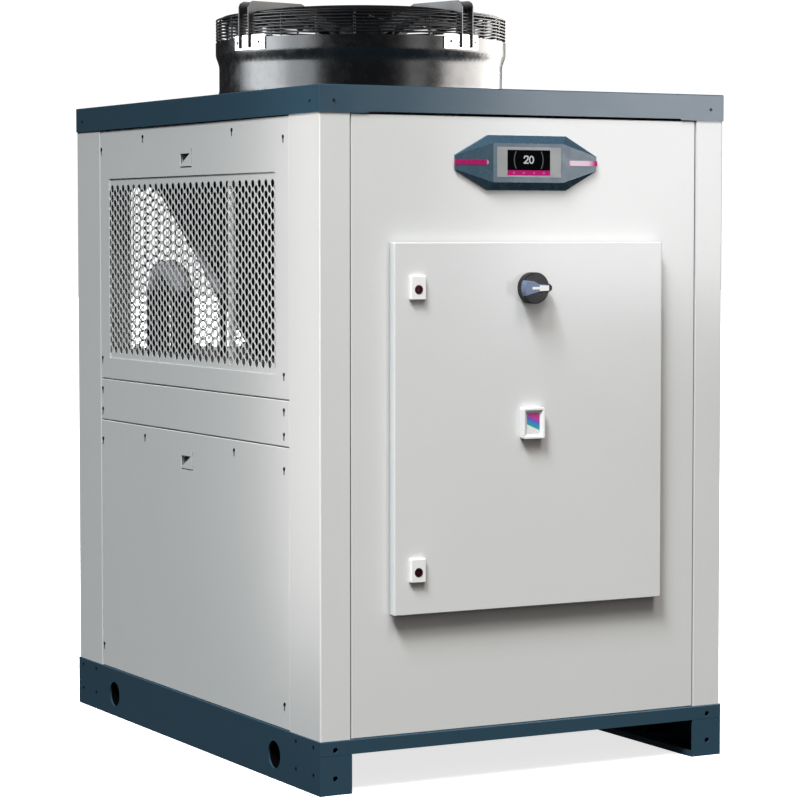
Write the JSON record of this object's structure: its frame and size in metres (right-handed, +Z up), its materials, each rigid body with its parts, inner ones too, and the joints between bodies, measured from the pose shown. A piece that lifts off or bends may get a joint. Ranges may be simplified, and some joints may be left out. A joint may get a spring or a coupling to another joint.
{
  "type": "air-cooled water chiller",
  "caption": "Cabinet water chiller with a roof fan in a black shroud, perforated side grilles, a hinged control enclosure door, an operator display and a raised base frame.",
  "frame": {"origin": "on the floor, in the middle of the part's footprint", "axes": "+Z up; -Y out of the front, which carries the enclosure door and the display; +X to the right of someone facing the front"},
  "size_m": [0.977, 1.353, 1.651],
  "materials": {
    "frame_blue": "dark slate blue textured powder coat",
    "panel_grey": "light grey fine-texture powder coat",
    "door_grey": "light grey fine-texture powder coat",
    "galvanised": "galvanised sheet",
    "zinc": "bright zinc plate",
    "device_grey": "moulded grey",
    "seal_rubber": "foamed black",
    "white_plastic": "moulded white",
    "dark_metal": "dark",
    "black_plastic": "moulded black",
    "grip_grey": "moulded blue grey",
    "slate_plastic": "slate blue, satin",
    "module_grey": "grey, satin",
    "screen_black": "glossy",
    "light_magenta": "lit light bar",
    "gloss_black": "satin to gloss black",
    "fan_black": "black coated steel",
    "impeller_black": "black",
    "coil_aluminium": "finned, dull",
    "pipe_grey": "grey pipe insulation"
  },
  "bodies": {
    "chassis": {"base_rail_left": "frame_blue", "base_rail_right": "frame_blue", "base_beams": "frame_blue", "base_tray": "galvanised", "front_corner_posts": "panel_grey", "rear_corner_posts": "panel_grey", "roof_cap": "frame_blue", "front_panel": "panel_grey", "left_upper_panel": "panel_grey", "left_middle_panel": "panel_grey", "left_lower_panel": "panel_grey", "left_grille": "panel_grey", "right_upper_panel": "panel_grey", "right_middle_panel": "panel_grey", "right_lower_panel": "panel_grey", "right_grille": "panel_grey", "rear_upper_panel": "panel_grey", "rear_middle_panel": "panel_grey", "rear_lower_panel": "panel_grey", "rear_grille": "panel_grey", "enclosure_box": "door_grey", "mounting_plate": "galvanised", "control_gear": "device_grey", "door_hinge_pins": "door_grey", "display_housing": "slate_plastic", "display_module": "module_grey", "display_screen": "screen_black", "display_lights": "light_magenta", "fan_shroud": "gloss_black", "fan_arms": "fan_black", "fan_brackets": "zinc", "fan_motor": "fan_black", "fan_guard": "fan_black", "condenser_coils": "coil_aluminium", "refrigerant_pipes": "pipe_grey"},
    "door": {"enclosure_door": "door_grey", "door_gasket": "seal_rubber", "door_hinge_knuckles": "door_grey", "lock_housings": "white_plastic", "switch_plate": "black_plastic", "switch_coupling": "black_plastic", "door_badge": "white_plastic"},
    "lock_lower": {"lock_insert_lower": "dark_metal"},
    "lock_upper": {"lock_insert_upper": "dark_metal"},
    "grip": {"switch_grip": "grip_grey"},
    "impeller": {"fan_impeller": "impeller_black"}
  },
  "joints": [
    {"name": "door_hinge", "type": "hinge", "parent": "chassis", "child": "door", "pos_m": [0.3225, -0.6265, 0.7325], "axis": [0, 0, 1], "range_deg": [0, 120]},
    {"name": "switch_turn", "type": "hinge", "parent": "door", "child": "grip", "pos_m": [-0.009, -0.6405, 1.022], "axis": [0, -1, 0], "range_deg": [0, 90]},
    {"name": "lock_lower_turn", "type": "hinge", "parent": "door", "child": "lock_lower", "pos_m": [-0.2785, -0.6405, 0.446], "axis": [0, -1, 0], "range_deg": [0, 90]},
    {"name": "lock_upper_turn", "type": "hinge", "parent": "door", "child": "lock_upper", "pos_m": [-0.2785, -0.6405, 1.021], "axis": [0, -1, 0], "range_deg": [0, 90]},
    {"name": "fan_spin", "type": "hinge", "parent": "chassis", "child": "impeller", "pos_m": [0, 0.1365, 1.5], "axis": [0, 0, 1], "continuous": true}
  ]
}
